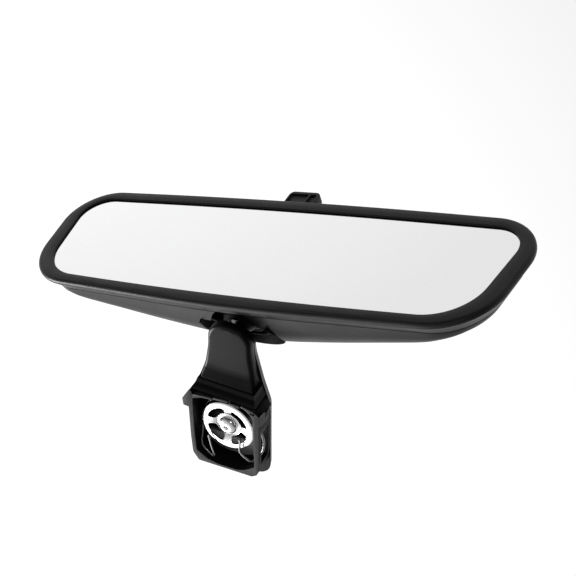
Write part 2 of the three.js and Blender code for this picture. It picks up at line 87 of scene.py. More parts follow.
OPENING = dict(top=dict(middle=32.1, end=28.0, half=112.8, bow=2100, corner=24.8),
               bottom=dict(middle=-33.3, end=-30.4, half=122.6, bow=3300, corner=14))
RIM = dict(top=dict(middle=39.0, end=33.7, half=121.6, bow=900, corner=31),
           bottom=dict(middle=-40.8, end=-36.9, half=131.4, bow=3000, corner=24))
BEZEL_DEPTH = 9.3
RIM_TAPER = 5.0
GLASS_RECESS = 1.4
GLASS_LIP = 0.7
GLASS_THIN = 1.8
GLASS_THICK = 4.2

SHELL_FRONT = BEZEL_DEPTH + GAP
SHELL_EDGE = -RIM_TAPER - 0.3
SHELL_WALL = 2.2
SHELL_DEPTH = 34
SHELL_END_DEPTH = 8.4
SHELL_HALF_LENGTH = 130
SHELL_FLARE = 1.5
SHELL_POWER = 2.4
SHELL_POLE_Z = -14.6

NECK_ANGLE = 0.58
NECK_AXIS = Vector((0, math.sin(NECK_ANGLE), math.cos(NECK_ANGLE)))
NECK_CENTRE = BALL + NECK_AXIS * 8.6
NECK_R = 20.3
NECK_WALL = 2
NECK_TOP = -1.1
NECK_FRONT = 16
LINER_HOLE = 12.5
SOCKET_ROOM = 16

LEVER_Y = 13
LEVER_Z = -26.5
LEVER_WIDTH = 17
LEVER_SLOT_ROOM = 1.5
TAB_ROOT = -12.2
TAB_END = -22.6
TAB_BACK = 5.9
TAB_FRONT = 10.8
TAB_WALL = 1.2
TAB_HOLLOW_FLOOR = 9.6
TAB_RIB = (-3.6, -2.8)

ARM_FRONT = -7
ARM_SPLIT = -12.4
ARM_BACK = -17
COVER_LIFT_START = -36.5
COVER_LIFT_LENGTH = 12.4
COVER_LIFT = 3.7
COVER_LIFT_POWER = 2.1
COVER_CROWN = 0.22
SHOULDER_Y = -21
WIRE_R = 0.55


# ---- mesh helpers ----
def mesh_object(name, points, faces, matrix=None):
    """A mesh from points in millimetres, moved by `matrix`, with its faces turned out."""
    mesh = bpy.data.meshes.new(name)
    place = matrix or Matrix.Identity(4)
    mesh.from_pydata([(place @ Vector(p)) * MM for p in points], [], faces)
    mesh.validate()
    obj = bpy.data.objects.new(name, mesh)
    bpy.context.scene.collection.objects.link(obj)
    fix_normals(obj)
    return obj


def fix_normals(obj):
    bm = bmesh.new()
    bm.from_mesh(obj.data)
    bmesh.ops.recalc_face_normals(bm, faces=bm.faces)
    bm.to_mesh(obj.data)
    bm.free()


def settle(obj):
    """Applies the modifiers of obj to its mesh."""
    graph = bpy.context.evaluated_depsgraph_get()
    graph.update()
    mesh = bpy.data.meshes.new_from_object(obj.evaluated_get(graph))
    old = obj.data
    obj.modifiers.clear()
    obj.data = mesh
    bpy.data.meshes.remove(old)
    return obj


def combine(obj, *tools, how="DIFFERENCE"):
    """Cuts each tool out of obj, or joins or crosses it with obj, and removes the tool."""
    for tool in tools:
        modifier = obj.modifiers.new("cut", "BOOLEAN")
        modifier.operation = how
        modifier.object = tool
        modifier.solver = "EXACT"
        settle(obj)
        mesh = tool.data
        bpy.data.objects.remove(tool)
        bpy.data.meshes.remove(mesh)
    return weld(obj, WELD_AFTER_CUT)


def weld(obj, dist, turn_out=False):
    """Merges points closer than `dist` millimetres, and turns the faces out if asked."""
    bm = bmesh.new()
    bm.from_mesh(obj.data)
    bmesh.ops.remove_doubles(bm, verts=bm.verts, dist=dist * MM)
    bmesh.ops.dissolve_degenerate(bm, edges=bm.edges, dist=dist * MM)
    if turn_out:
        bmesh.ops.recalc_face_normals(bm, faces=bm.faces)
    bm.to_mesh(obj.data)
    bm.free()
    return obj


def soften(obj, width, segments=2, angle=32):
    """Rounds the sharp edges by `width` millimetres."""
    modifier = obj.modifiers.new("bevel", "BEVEL")
    modifier.width = width * MM
    modifier.segments = segments
    modifier.limit_method = "ANGLE"
    modifier.angle_limit = math.radians(angle)
    modifier.use_clamp_overlap = True
    modifier.miter_outer = "MITER_ARC"
    return settle(obj)


def smooth(obj, angle=35):
    obj.data.shade_smooth()
    obj.data.set_sharp_from_angle(angle=math.radians(angle))


def stacked(name, rings, matrix=None, closed=False):
    """Rings of equal length skinned one to the next, capped by a fan at both ends."""
    count = len(rings[0])
    points = [p for ring in rings for p in ring]
    faces = []
    turns = len(rings) if closed else len(rings) - 1
    for k in range(turns):
        for i in range(count):
            a, b = k * count + i, k * count + (i + 1) % count
            c = ((k + 1) % len(rings)) * count
            faces.append((a, b, c + (i + 1) % count, c + i))
    if not closed:
        for ring, base in ((rings[0], 0), (rings[-1], (len(rings) - 1) * count)):
            middle = sum((Vector(p) for p in ring), Vector()) / count
            points.append(tuple(middle))
            faces += [(len(points) - 1, base + i, base + (i + 1) % count) for i in range(count)]
    return mesh_object(name, points, faces, matrix)


def crowned(name, rings, height, crown, steps=12):
    """Rings skinned one to the next; the last, alike on both sides, is bridged by rows from side to side."""
    count = len(rings[0])
    points = [p for ring in rings for p in ring]
    faces = [tuple(range(count))]
    for k in range(len(rings) - 1):
        for i in range(count):
            j = (i + 1) % count
            faces.append((k * count + i, k * count + j, (k + 1) * count + j, (k + 1) * count + i))
    base = (len(rings) - 1) * count
    rows = []
    for i in range(count // 2):
        (x0, y, _), (x1, _, _) = rings[-1][i], rings[-1][count - 1 - i]
        row = [base + i]
        for k in range(1, steps):
            row.append(len(points))
            points.append((x0 + (x1 - x0) * k / steps, y, height(y) + crown * (1 - (2 * k / steps - 1) ** 2)))
        rows.append(row + [base + count - 1 - i])
    for one, two in zip(rows, rows[1:]):
        faces += [(one[k], one[k + 1], two[k + 1], two[k]) for k in range(steps)]
    return weld(mesh_object(name, points, faces), WELD_ROWS, turn_out=True)


def prism(name, outline, low, high, matrix=None):
    """A flat outline in x and y, pushed from z = low to z = high."""
    count = len(outline)
    points = [(x, y, low) for x, y in outline] + [(x, y, high) for x, y in outline]
    faces = [tuple(range(count))[::-1], tuple(range(count, 2 * count))]
    faces += [(i, (i + 1) % count, count + (i + 1) % count, count + i) for i in range(count)]
    return mesh_object(name, points, faces, matrix)


def across(name, profile, half, matrix=None):
    """A profile in y and z, pushed along x from -half to half."""
    turn = Matrix(((0, 0, 1, 0), (1, 0, 0, 0), (0, 1, 0, 0), (0, 0, 0, 1)))
    return prism(name, profile, -half, half, (matrix or Matrix.Identity(4)) @ turn)


def block(name, low, high, matrix=None):
    (x0, y0, z0), (x1, y1, z1) = low, high
    return prism(name, [(x0, y0), (x1, y0), (x1, y1), (x0, y1)], z0, z1, matrix)


def aim(axis, at):
    """A placing that turns z onto `axis` and moves the origin to `at`."""
    turn = Vector((0, 0, 1)).rotation_difference(Vector(axis))
    return Matrix.Translation(at) @ turn.to_matrix().to_4x4()


def turned(name, profile, sides=64, matrix=None):
    """A closed profile of (r, z) turned about z; points at r = 0 become one point each."""
    points, rings = [], []
    for r, z in profile:
        if r < ON_AXIS:
            rings.append([len(points)] * sides)
            points.append((0, 0, z))
            continue
        rings.append([len(points) + i for i in range(sides)])
        angles = [math.tau * i / sides for i in range(sides)]
        points += [(r * math.cos(a), r * math.sin(a), z) for a in angles]
    faces = []
    for k in range(len(rings) - (1 if profile[0][0] < ON_AXIS else 0)):
        one, two = rings[k], rings[(k + 1) % len(rings)]
        for i in range(sides):
            j = (i + 1) % sides
            face = list(dict.fromkeys((one[i], one[j], two[j], two[i])))
            if len(face) > 2:
                faces.append(tuple(face))
    return mesh_object(name, points, faces, matrix)


def rod(name, r, low, high, matrix=None, sides=48):
    return turned(name, [(0, low), (r, low), (r, high), (0, high)], sides, matrix)


def rounded(corners):
    """A polygon whose corners are (x, y) or (x, y, radius, steps)."""
    points = []
    count = len(corners)
    for i, corner in enumerate(corners):
        here = Vector(corner[:2])
        if len(corner) < 4:
            points.append(tuple(here))
            continue
        radius, steps = corner[2], corner[3]
        before = (Vector(corners[i - 1][:2]) - here).normalized()
        after = (Vector(corners[(i + 1) % count][:2]) - here).normalized()
        half = math.acos(max(-1, min(1, before.dot(after)))) / 2
        centre = here + (before + after).normalized() * (radius / math.sin(half))
        start = here + before * (radius / math.tan(half)) - centre
        side = math.copysign(1, before.x * after.y - before.y * after.x)
        sweep = math.pi - 2 * half
        for k in range(steps + 1):
            turn = Matrix.Rotation(-side * sweep * k / steps, 2)
            points.append(tuple(turn @ start + centre))
    return points


def full(half):
    """The corners of half an outline, with their mirror image."""
    return rounded(list(half) + [(-c[0], *c[1:]) for c in reversed(half)])


def inset(outline, by):
    """A smooth closed outline moved inward by `by`, point by point."""
    area = sum(a[0] * b[1] - b[0] * a[1] for a, b in zip(outline, outline[1:] + outline[:1]))
    side = math.copysign(1, area)
    moved = []
    for i, here in enumerate(outline):
        before, after = Vector(outline[i - 1]), Vector(outline[(i + 1) % len(outline)])
        one, two = (Vector(here) - before).normalized(), (after - Vector(here)).normalized()
        along = (one + two).normalized()
        normal = Vector((-along.y, along.x)) * side
        spread = max(0.5, normal.dot(Vector((-one.y, one.x)) * side))
        moved.append(tuple(Vector(here) + normal * by / spread))
    return moved


# ---- outlines of the head ----
def outline_stations(shape, bow_steps=20, corner_steps=22, long_steps=14, side_steps=8):
    """Points round a six-cornered outline, each with its outward direction; the two middles are long bows."""
    top, bottom = shape["top"], shape["bottom"]
    corners = [
        (0, bottom["middle"], bottom["bow"], bow_steps, long_steps),
        (bottom["half"], bottom["end"], bottom["corner"], corner_steps, side_steps),
        (top["half"], top["end"], top["corner"], corner_steps, long_steps),
        (0, top["middle"], top["bow"], bow_steps, long_steps),
        (-top["half"], top["end"], top["corner"], corner_steps, side_steps),
        (-bottom["half"], bottom["end"], bottom["corner"], corner_steps, long_steps)]
    arcs = []
    for i, (x, z, radius, steps, _) in enumerate(corners):
        here = Vector((x, z))
        before = (Vector(corners[i - 1][:2]) - here).normalized()
        after = (Vector(corners[(i + 1) % 6][:2]) - here).normalized()
        half = math.acos(before.dot(after)) / 2
        centre = here + (before + after).normalized() * (radius / math.sin(half))
        out = (here + before * (radius / math.tan(half)) - centre).normalized()
        sweep = math.pi - 2 * half
        arc = []
        for k in range(steps + 1):
            n = Matrix.Rotation(sweep * k / steps, 2) @ out
            arc.append((centre + n * radius, n))
        arcs.append(arc)
    stations = []
    for i, arc in enumerate(arcs):
        stations += arc
        start, end = arc[-1], arcs[(i + 1) % 6][0]
        steps = corners[i][4]
        for k in range(1, steps):
            stations.append((start[0].lerp(end[0], k / steps), start[1]))
    return stations


OPENING_STATIONS = outline_stations(OPENING)
RIM_STATIONS = outline_stations(RIM)


def ring_at(stations, offset, depth):
    """The stations moved out by `offset`, at one depth or at a depth that depends on z."""
    ring = []
    for p, n in stations:
        x, z = p + n * offset
        ring.append((x, depth(z) if callable(depth) else depth, z))
    return ring


def glass_back(z):
    """Depth of the back of the wedge-shaped glass."""
    share = (z - OPENING["bottom"]["end"]) / (OPENING["top"]["end"] - OPENING["bottom"]["end"])
    return GLASS_RECESS + GLASS_THIN + (GLASS_THICK - GLASS_THIN) * share


def shell_ring(offset, inset_by, share):
    """One ring of the rear surface: share 0 is the front edge, 1 is near the deepest point."""
    turn = math.pi / 2 * share
    shrink = math.cos(turn) ** (2 / SHELL_POWER)
    grow = math.sin(turn) ** (2 / SHELL_POWER)
    ring = []
    for x, _, z in ring_at(RIM_STATIONS, offset, 0):
        x *= shrink
        flare = max(0, 1 - abs(x / SHELL_HALF_LENGTH) ** SHELL_FLARE)
        depth = SHELL_END_DEPTH + (SHELL_DEPTH - SHELL_END_DEPTH) * flare - inset_by
        ring.append((x, SHELL_FRONT + depth * grow, SHELL_POLE_Z + (z - SHELL_POLE_Z) * shrink))
    return ring


SHELL_SHARES = [0, 0.04, 0.1, 0.17, 0.24, 0.31, 0.38, 0.45, 0.52, 0.59, 0.66, 0.73, 0.8, 0.86, 0.91,
                0.95, 0.98]


def neck_rod(name, r, low, high):
    return rod(name, r, low, high, HEAD @ aim(NECK_AXIS, NECK_CENTRE), 96)


def before_neck(y):
    """A block that takes away all of the neck in front of depth `y`."""
    return block("before", (-40, -20, -30), (40, y, 70), HEAD)


def lever_slot(name, half):
    return block(name, (-half, 2.6, -45), (half, 27, -31), HEAD)


# ---- head ----
def build_bezel():
    """The ring round the glass: a rounded inner lip, a nearly flat band, a rounded rim and a tapered side."""
    inner_r, outer_r = 0.7, 1.9
    lip_top, band_dip, rim_start, rim_squash = 0.25, 0.25, 0.2, 0.95
    side = [(0.0, 2.65), (-0.12, 2.95), (-0.34, 3.12), (-1.2, 4.3), (-2.6, 6.1), (-4.0, 8.0), (-4.75, 9.0),
            (-5.0, BEZEL_DEPTH), (-5.25, BEZEL_DEPTH), (-RIM_TAPER - 1.4, BEZEL_DEPTH)]
    sections = []
    for (p, n), (q, m) in zip(OPENING_STATIONS, RIM_STATIONS):
        width = (q - p).length
        way = (q - p).normalized()

        def at(offset, y):
            point = p + way * offset
            return (point.x, y, point.y)

        def rim(offset, y):
            point = q + m * offset
            return (point.x, y, point.y)

        def lip(offset, y):
            point = p + n * offset
            return (point.x, y, point.y)

        section = [lip(GLASS_LIP + GAP, 6.3), lip(GLASS_LIP + GAP, GLASS_RECESS - GAP),
                   lip(0.2, GLASS_RECESS - GAP), lip(0.0, 0.95)]
        for k in range(5):
            angle = math.radians(20 + 70 * k / 4)
            section.append(lip(inner_r * (1 - math.cos(angle)), lip_top + inner_r * (1 - math.sin(angle))))
        for share in (0.3, 0.5, 0.7):
            section.append(at(inner_r + (width - inner_r - outer_r) * share,
                              lip_top - band_dip * math.sin(math.pi * share)))
        for k in range(8):
            angle = math.radians(90 * k / 7)
            section.append(rim(-outer_r * (1 - math.sin(angle)),
                               rim_start + outer_r * (1 - math.cos(angle)) * rim_squash))
        section += [rim(offset, y) for offset, y in side]
        sections.append(section)
    bezel = stacked("bezel_ring", sections, HEAD, closed=True)
    return combine(bezel, lever_slot("slot", LEVER_WIDTH / 2 + LEVER_SLOT_ROOM))


def build_housing():
    """The rear shell, open at the neck and at the lever, with room inside for the socket."""
    outer = [shell_ring(SHELL_EDGE - 0.35, 0, 0)]
    outer += [[(x, y + 0.3, z) for x, y, z in shell_ring(SHELL_EDGE, 0, 0)]]
    outer += [shell_ring(SHELL_EDGE, 0, share) for share in SHELL_SHARES[2:]]
    inner = [shell_ring(SHELL_EDGE - SHELL_WALL, SHELL_WALL, share) for share in SHELL_SHARES[::2]]
    housing = stacked("rear_shell", outer[::-1] + inner, HEAD)
    opening = combine(neck_rod("neck", NECK_R + GAP, -13, 30), before_neck(NECK_FRONT))
    half_turn = [math.pi * k / 24 for k in range(25)]
    room = turned("room", [(SOCKET_ROOM * math.sin(a), SOCKET_ROOM * math.cos(a)) for a in half_turn], 48,
                  HEAD @ Matrix.Translation(BALL))
    combine(housing, opening, room, lever_slot("slot", LEVER_WIDTH / 2 + LEVER_SLOT_ROOM))
    return housing


def build_liner():
    """Black collar of the opening the arm comes out of, with the dust shield inside it."""
    inner = NECK_R - NECK_WALL
    profile = [(inner, -5.4), (NECK_R - 0.9, NECK_TOP - 0.3), (NECK_R - 0.7, NECK_TOP - 0.05),
               (NECK_R - 0.4, NECK_TOP), (NECK_R - 0.12, NECK_TOP - 0.12), (NECK_R, NECK_TOP - 0.4),
               (NECK_R, -8), (LINER_HOLE, -11.7), (LINER_HOLE, -10.7), (17.9, -7.6), (11.8, -4.2),
               (11.4, -3.7), (11.9, -3.3), (14, -3.9), (16.8, -4.6)]
    liner = turned("neck_lining", profile, 120, HEAD @ aim(NECK_AXIS, NECK_CENTRE))
    return combine(liner, before_neck(NECK_FRONT + GAP))


def build_glass():
    """The wedge-shaped glass, with its edges broken all round."""
    chamfer = 0.25
    rings = [ring_at(OPENING_STATIONS, GLASS_LIP - chamfer, glass_back),
             ring_at(OPENING_STATIONS, GLASS_LIP, lambda z: glass_back(z) - chamfer),
             ring_at(OPENING_STATIONS, GLASS_LIP, GLASS_RECESS + chamfer),
             ring_at(OPENING_STATIONS, GLASS_LIP - chamfer, GLASS_RECESS)]
    return stacked("prismatic_glass", rings, HEAD)


def build_lever():
    """A stem and a tab; the tab's front is hollowed inside a thin rim, with one rib across the hollow."""
    place = HEAD @ Matrix.Translation((0, LEVER_Y, LEVER_Z))
    stem = across("toggle_paddle", [(-10, -12.4), (-6, -12.4), (1.2, -2.2), (-2.4, -1.2)], 7.5, place)
    half = LEVER_WIDTH / 2
    face = rounded([(-half, TAB_ROOT), (half, TAB_ROOT), (half, TAB_END, 2.6, 8), (-half, TAB_END, 2.6, 8)])
    turn = Matrix.Rotation(math.radians(90), 4, "X")
    tab = soften(prism("tab", face, TAB_BACK, TAB_FRONT, place @ turn), 0.45, 3, 30)
    hollow_end = TAB_END + 2
    for low, high in ((-half + TAB_WALL, TAB_RIB[0]), (TAB_RIB[1], half - TAB_WALL)):
        hollow = rounded([(low, -10), (high, -10), (high, hollow_end, 1.2, 5), (low, hollow_end, 1.2, 5)])
        combine(tab, prism("hollow", hollow, TAB_HOLLOW_FLOOR, 12, place @ turn))
    combine(stem, tab, how="UNION")
    return soften(stem, 0.18, 2, 40)


# ---- arm and mount ----
def along_stud(name, r, low, high, sides=48):
    return rod(name, r, low, high, aim(STUD_AXIS, BALL_AT), sides)


def under_arm():
    """All that lies on the head's side of where the boss begins."""
    return block("under", (-40, -60, -40), (40, 60, BOSS_START), aim(STUD_AXIS, BALL_AT))


def build_arm_cover():
    """The face dips along its length, crowns a little across, and climbs to a shoulder at its foot."""
    outline = full([(10.5, -58.4, 9.4, 18), (10.8, -44, 40, 9), (12.5, -33, 40, 9), (14.6, -24.8)])
    fillet, low = 2.1, ARM_SPLIT + GAP

    def face(y):
        lift = min(1.0, max(0.0, (y - COVER_LIFT_START) / COVER_LIFT_LENGTH))
        return ARM_FRONT + COVER_LIFT * lift ** COVER_LIFT_POWER

    rings = [[(x, y, low) for x, y in inset(outline, 0.4)], [(x, y, low + 0.4) for x, y in outline],
             [(x, y, face(y) - fillet - 0.9) for x, y in outline]]
    for k in range(8):
        angle = math.radians(90 * k / 7)
        moved = inset(outline, fillet * (1 - math.cos(angle)))
        rings.append([(x, y, face(y) - fillet * (1 - math.sin(angle))) for x, y in moved])
    cover = crowned("arm_cover", rings, face, COVER_CROWN)
    profile = [(-25.6, low), (SHOULDER_Y, low), (SHOULDER_Y, -0.95), (-21.2, -0.75), (-21.5, -0.85),
               (-23.3, -2.9), (-23.7, -3.2), (-24.6, -3.5), (-25.6, -4.0)]
    climb = across("climb", profile, 18)
    plan = prism("plan", full([(14.5, -25.8), (15.1, -23.5, 6, 3), (16.6, -20.9)]), low - 1, 1)
    combine(climb, plan, how="INTERSECT")
    combine(cover, climb, how="UNION")
    pip = rod("pip", 0.4, -8.0, -6.75, Matrix.Translation((-0.2, -36.0, 0)), 16)
    combine(cover, pip, how="UNION")
    return combine(cover, under_arm())


def build_arm_body():
    """A slab whose sides lean in towards its back, with the stud's boss and the hub's post."""
    outline = full([(10.2, -58, 9.2, 16), (10.6, -43, 30, 8), (14.9, -26, 30, 8), (18.6, -14.5, 14, 8),
                    (18.8, 32, 8, 14)])
    lean = inset(outline, 1.0)
    body = stacked("arm_back", [[(x, y, ARM_BACK) for x, y in inset(outline, 1.9)],
                                [(x, y, ARM_BACK + 0.3) for x, y in inset(outline, 1.3)],
                                [(x, y, ARM_BACK + 1.0) for x, y in lean],
                                [(x, y, ARM_SPLIT - 0.4) for x, y in outline],
                                [(x, y, ARM_SPLIT) for x, y in inset(outline, 0.3)]])
    combine(body, under_arm())
    boss = along_stud("boss", BOSS_R, BOSS_START, 16)
    combine(boss, block("above", (-20, -80, ARM_SPLIT), (20, 0, 20)))
    post = turned("post", [(0, -16), (5.6, -16), (5, POST_TOP), (0, POST_TOP)], 48)
    combine(body, boss, post, how="UNION")
    return combine(body, along_stud("bore", STUD_R + GAP, 0, 13), rod("bore", 2.5, -15.6, 0, sides=32))


def build_mount_frame():
    """An open box with a bowed top wall, thick lower corners, an ear on one side and a fin on the other."""
    low = ARM_SPLIT + GAP
    outer = rounded([(17.9, -14), (15.9, -17.6, 1, 3), (10.8, -18.9, 20, 4), (4.5, -19.8, 20, 4),
                     (-3, -20.3, 20, 4), (-9.5, -20.1, 20, 4), (-16.2, -19.2, 4, 4), (-19.4, -16.4, 0.8, 3),
                     (-18.5, -11, 6, 4), (-18.6, 12, 20, 4), (-17.7, 20.4, 1.5, 5), (-14.9, 22.5, 1.5, 5),
                     (13.3, 24, 1.5, 5), (16.4, 19.6, 3, 5), (17.2, 9, 30, 4)])
    inner = rounded([(15.7, -15.2, 0.8, 3), (10.7, -17.4, 20, 4), (4.5, -18.4, 20, 4), (-3, -18.9, 20, 4),
                     (-9, -18.7, 20, 4), (-13.9, -17.8, 0.5, 3), (-15.4, -14, 1, 3), (-15.8, 0),
                     (-16.3, 15.8, 0.5, 3), (-11.5, 19.7, 2, 4), (-7, 21.6, 2, 4), (2.7, 22.1, 3, 4),
                     (8.4, 21.2, 2, 4), (14.4, 17.4, 1, 3), (15.2, 6)])
    ear_outline = rounded([(15.7, -18.6), (16.8, -20.0, 0.4, 3), (18.7, -17, 4, 3), (21, -13.3, 0.5, 3),
                           (20.5, -9.2, 0.5, 3), (16.4, -9)])
    fin_outline = rounded([(-17, -10.5), (-18.8, -17, 3, 4), (-21.3, -21.6, 0.4, 2), (-22.1, -21.9, 0.3, 3),
                           (-21.9, -17.7, 3, 4), (-20.7, -13.5, 3, 4), (-18.4, -10.5)])
    bars = prism("mount_box", outer, low, -0.3)
    combine(bars, prism("hollow", inner, low - 1, 1))
    combine(bars, prism("ear", ear_outline, -5, -0.22), prism("fin", fin_outline, -4, -0.34), how="UNION")
    combine(bars, block("under_lands", (-16.4, -22, -1.7), (15.4, -17.0, 1)),
            block("wire_window", (-20, -4, -10.5), (-15.0, 15.2, -3)))
    return soften(bars, 0.22, 2, 38)


LANDS = [((15.3, -17.9), (10.8, -19.1), (5.1, -19.5)), ((4.4, -20.2), (0.6, -20.6), (-2.9, -20.9)),
         ((-3.5, -20.0), (-6.2, -20.1), (-9.0, -20.0)), ((-9.7, -20.7), (-12.8, -20.3), (-16.2, -19.3))]
LAND_WIDTH = 1.25


def bow(start, pull, end, steps=8):
    """Points along a curve from start to end that leans towards `pull`."""
    line = []
    for i in range(steps + 1):
        t = i / steps
        line.append(tuple((1 - t) ** 2 * a + 2 * t * (1 - t) * b + t * t * c
                          for a, b, c in zip(start, pull, end)))
    return line


def build_steps():
    """The four short lands along the top wall, set in and out by turns with a notch between them."""
    pieces = []
    for k, land in enumerate(LANDS):
        far = bow(*land)
        near = [(x, y + LAND_WIDTH) for x, y in reversed(far)]
        pieces.append(soften(prism(f"land{k}", far + near, -1.9, -0.02), 0.15, 2, 40))
    first = pieces[0]
    combine(first, *pieces[1:], how="UNION")
    first.name = "mount_top_lands"
    return first


def build_floor_plate():
    """The plate across the low end of the box, behind the disc, with its small slot."""
    outline = rounded([(13.6, 11), (13.4, 16.4, 2, 6), (8.2, 20.2, 3, 6), (2.7, 21.2), (-7, 20.7, 3, 6),
                       (-11.2, 18.9, 2, 6), (-15.2, 15.4, 1, 4), (-15.0, 11)])
    plate = prism("mount_floor", outline, -11.8, -10.2)
    combine(plate, block("slot", (-3.4, 17.0, -13), (-2.0, 19.8, -9)))
    return soften(plate, 0.2, 2, 40)


def build_disc():
    """Dished spring disc: a crowned rim, four rounded windows, and a hub set lower."""
    upper = [(0, -6.9), (5.1, -6.9), (5.8, -6.7), (6.3, -6.2), (7.0, -5.75), (8.4, -5.3), (10.0, -4.85),
             (10.9, -4.6), (12.2, -4.5), (13.2, -4.65), (13.75, -4.95), (13.9, -5.3)]
    lower = [(13.5, -5.55), (13.1, -5.4), (12.1, -5.2), (10.8, -5.3), (8.5, -5.95), (7.0, -6.4), (6.2, -6.95),
             (5.2, -7.4), (0, -7.4)]
    disc = turned("spring_disc", (upper + lower)[::-1], 128)
    middle_r, half_width, half_angle, window_sides = 8.65, 2.2, 0.57, 48

    def bulge(v):
        return math.copysign(abs(v) ** 0.5, v)

    for k in range(4):
        outline = []
        for i in range(window_sides):
            turn = math.tau * i / window_sides
            angle = (k + 0.5) * math.pi / 2 + half_angle * bulge(math.cos(turn))
            r = middle_r + half_width * bulge(math.sin(turn))
            outline.append((r * math.cos(angle), r * math.sin(angle)))
        combine(disc, prism("window", outline, -9, -2))
    return soften(disc, 0.12, 2, 40)


def build_screw():
    """Domed head on a thin washer, with a six-lobed recess."""
    profile = [(0, -14.5), (2.1, -14.5), (2.1, -6.85), (6.1, -6.85), (6.15, -6.6), (5.9, -6.45), (5.0, -6.4),
               (4.95, -5.9), (4.7, -5.0), (4.2, -4.3), (3.3, -3.7), (2.2, -3.35), (0, -3.2)]
    screw = turned("hub_bolt", profile, 96)
    lobe_r, valley_r, star_sides = 1.7, 1.15, 24
    star = [((lobe_r if i % 4 < 2 else valley_r), math.tau * i / star_sides) for i in range(star_sides)]
    recess = prism("star", [(r * math.cos(a), r * math.sin(a)) for r, a in star], -4.9, 0)
    combine(screw, recess)
    return soften(screw, 0.1, 2, 40)


CLIP_ROUTE = [
    (8.9, 8, -2.7), (7.4, 15, -2.7), (6.1, 20.2, -3), (6.6, 20.9, -3.05), (8.8, 19.8, -3.2), (13.1, 16.4, -4),
    (14.3, 10, -7), (14.3, 2, -8.4), (11.5, -8.4, -8), (5, -12.6, -8), (-3, -12.8, -8), (-10, -10, -8),
    (-14.2, -5, -7.4), (-17, 0, -7), (-18, 6, -7), (-17, 11.6, -6.4), (-15, 14.8, -5.2), (-13.2, 16.2, -3.6),
    (-10.4, 14.4, -2.9), (-7.9, 12.0, -2.7), (-7.4, 10.9, -2.7), (-7.5, 8, -2.7), (-7.7, 4, -2.7)]
DOME_ANGLES = (0, 0.6, 1.1, 1.45)


def through(route, per_span=8):
    """A centripetal Catmull-Rom curve through the points of a route."""
    points = [Vector(p) for p in route]
    points = [points[0] * 2 - points[1]] + points + [points[-1] * 2 - points[-2]]
    line = []
    for i in range(len(points) - 3):
        a, b, c, d = points[i:i + 4]
        t1 = (b - a).length ** 0.5
        t2 = t1 + (c - b).length ** 0.5
        t3 = t2 + (d - c).length ** 0.5
        for k in range(per_span):
            t = t1 + (t2 - t1) * k / per_span
            ab = a + (b - a) * (t / t1)
            bc = b + (c - b) * ((t - t1) / (t2 - t1))
            cd = c + (d - c) * ((t - t2) / (t3 - t2))
            abc = ab + (bc - ab) * (t / t2)
            bcd = bc + (cd - bc) * ((t - t1) / (t3 - t1))
            line.append(abc + (bcd - abc) * ((t - t1) / (t2 - t1)))
    return line + [points[-2]]


def tube(name, line, r, sides=12):
    """Round wire along a line, with domed ends."""
    normal = (line[1] - line[0]).orthogonal().normalized()
    rings = []
    angles = [math.tau * k / sides for k in range(sides)]
    last = (line[1] - line[0]).normalized()
    for i, p in enumerate(line):
        way = (line[min(i + 1, len(line) - 1)] - line[max(i - 1, 0)]).normalized()
        normal = (last.rotation_difference(way) @ normal).normalized()
        last = way
        side = way.cross(normal)
        ring = [normal * math.cos(a) + side * math.sin(a) for a in angles]
        if i in (0, len(line) - 1):
            sign = -1 if i == 0 else 1
            caps = []
            for t in DOME_ANGLES:
                end = p + way * sign * r * math.sin(t)
                caps.append([end + q * r * math.cos(t) for q in ring])
            rings += caps[::-1] if i == 0 else caps
        else:
            rings.append([p + q * r for q in ring])
    return stacked(name, rings)


def build_stud():
    """The stud with its end broken, and the ball from just past the stud's neck to its pole."""
    steps, neck_angle, fillet = 24, math.asin(STUD_R / BALL_R), 0.06
    profile = [(0, 12.6), (STUD_R - 0.3, 12.6), (STUD_R, 12.3), (STUD_R, BALL_R * math.cos(neck_angle) + 0.6)]
    for k in range(steps + 1):
        angle = neck_angle + fillet + (math.pi - neck_angle - fillet) * k / steps
        profile.append((BALL_R * math.sin(angle), BALL_R * math.cos(angle)))
    return turned("ball_and_stud", profile, 64, aim(STUD_AXIS, BALL_AT))


# ---- the pieces, the bodies they ride on and the nodes they stand for ----
def place(obj, body, slot, *nodes, angle=35):
    """Rides a piece on its body, names its finish, and hides the CAD nodes that it stands for."""
    smooth(obj, angle)
    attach(obj, body)
    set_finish(obj, slot)
    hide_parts(*nodes)
    return obj


place(build_bezel(), "head", "satin_black", "bezel", angle=24)
place(build_housing(), "head", "satin_black", "rear_housing", angle=30)
liner = place(build_liner(), "head", "satin_black", "neck_liner")
place(build_glass(), "head", "mirror_glass", "mirror_glass")
place(build_lever(), "lever", "satin_black", "toggle_lever")
place(build_arm_cover(), "mount", "gloss_black", "arm_front_cover", angle=50)
place(build_arm_body(), "mount", "gloss_black", "arm_body")
mount_box = place(build_mount_frame(), "mount", "dark_grey", "mount_frame", angle=40)
place(build_steps(), "mount", "dark_grey")
floor_plate = place(build_floor_plate(), "mount", "dark_grey")
place(build_disc(), "mount", "bright_metal", "retainer_disc")
place(build_screw(), "mount", "bright_metal", "hub_screw")
place(tube("wire_clip", through(CLIP_ROUTE), WIRE_R), "mount", "spring_steel", "spring_clip", angle=60)
stud = place(build_stud(), "mount", "spring_steel", "ball_stud")


# ---- materials ----
CLOUD_SIZE = 14
SPECK_SIZE = 2.5
RING_SIZE = 2.2
GRAIN_DEPTH = 0.05


def link(owner, source, target):
    """Joins two sockets in the nodes of a material or of the world."""
    owner.node_tree.links.new(source, target)


